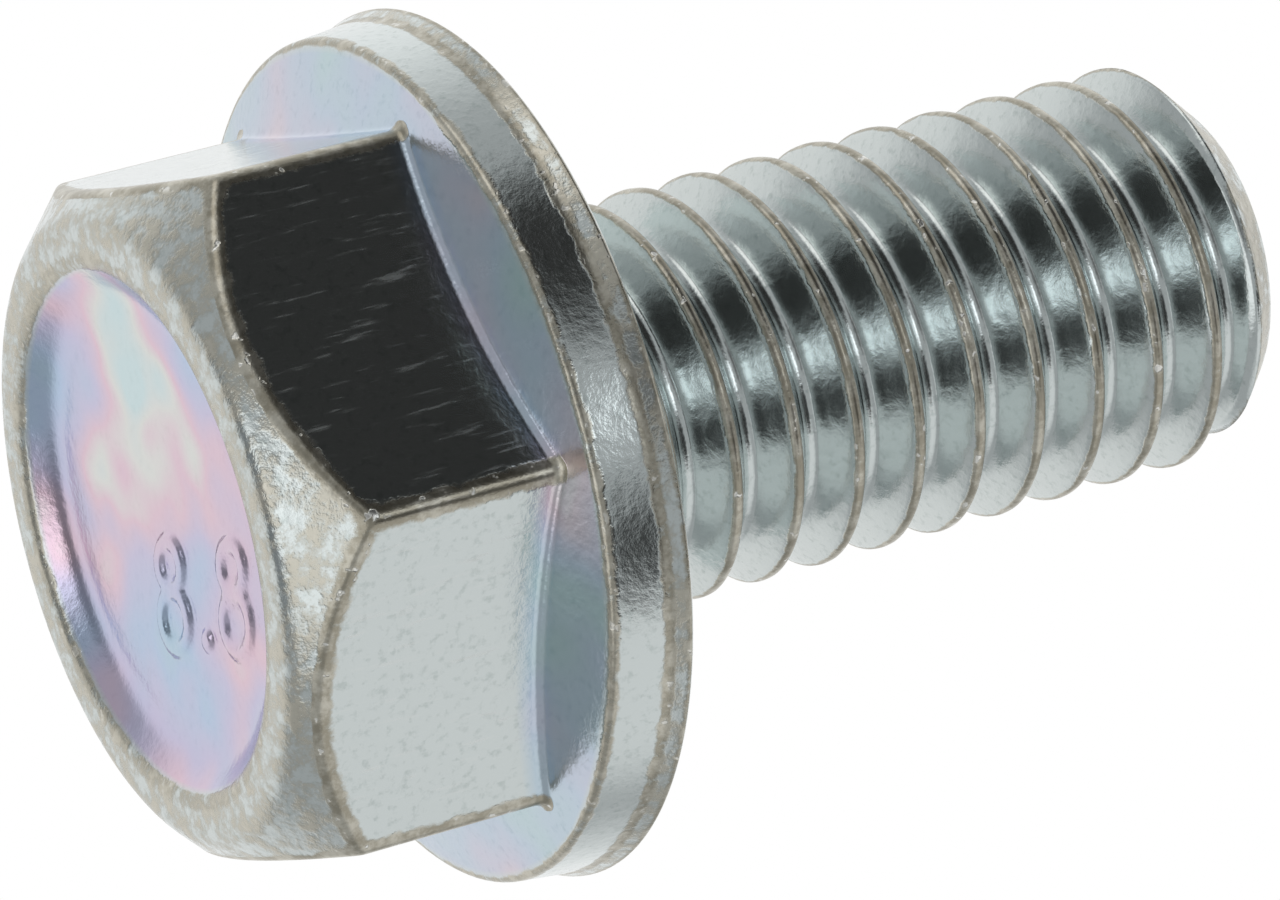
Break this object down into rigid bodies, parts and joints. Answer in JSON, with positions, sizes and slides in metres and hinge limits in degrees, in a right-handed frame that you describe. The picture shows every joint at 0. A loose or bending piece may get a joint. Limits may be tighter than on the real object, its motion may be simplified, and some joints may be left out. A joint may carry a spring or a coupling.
{
  "type": "flange bolt",
  "caption": "Hexagon bolt with an integral round flange, a shallow dished crown and a short fully threaded shank with a chamfered point, in bright zinc plated steel.",
  "frame": {"origin": "centre of the flange's bearing face, on the bolt's axis", "axes": "+Z along the bolt's axis from the head to the tip, as it stands on its crown"},
  "size_m": [0.0126, 0.0126, 0.0174],
  "materials": {
    "zinc_plated_steel": "bright zinc plate"
  },
  "bodies": {
    "root": {"flange_bolt": "zinc_plated_steel"}
  },
  "joints": []
}
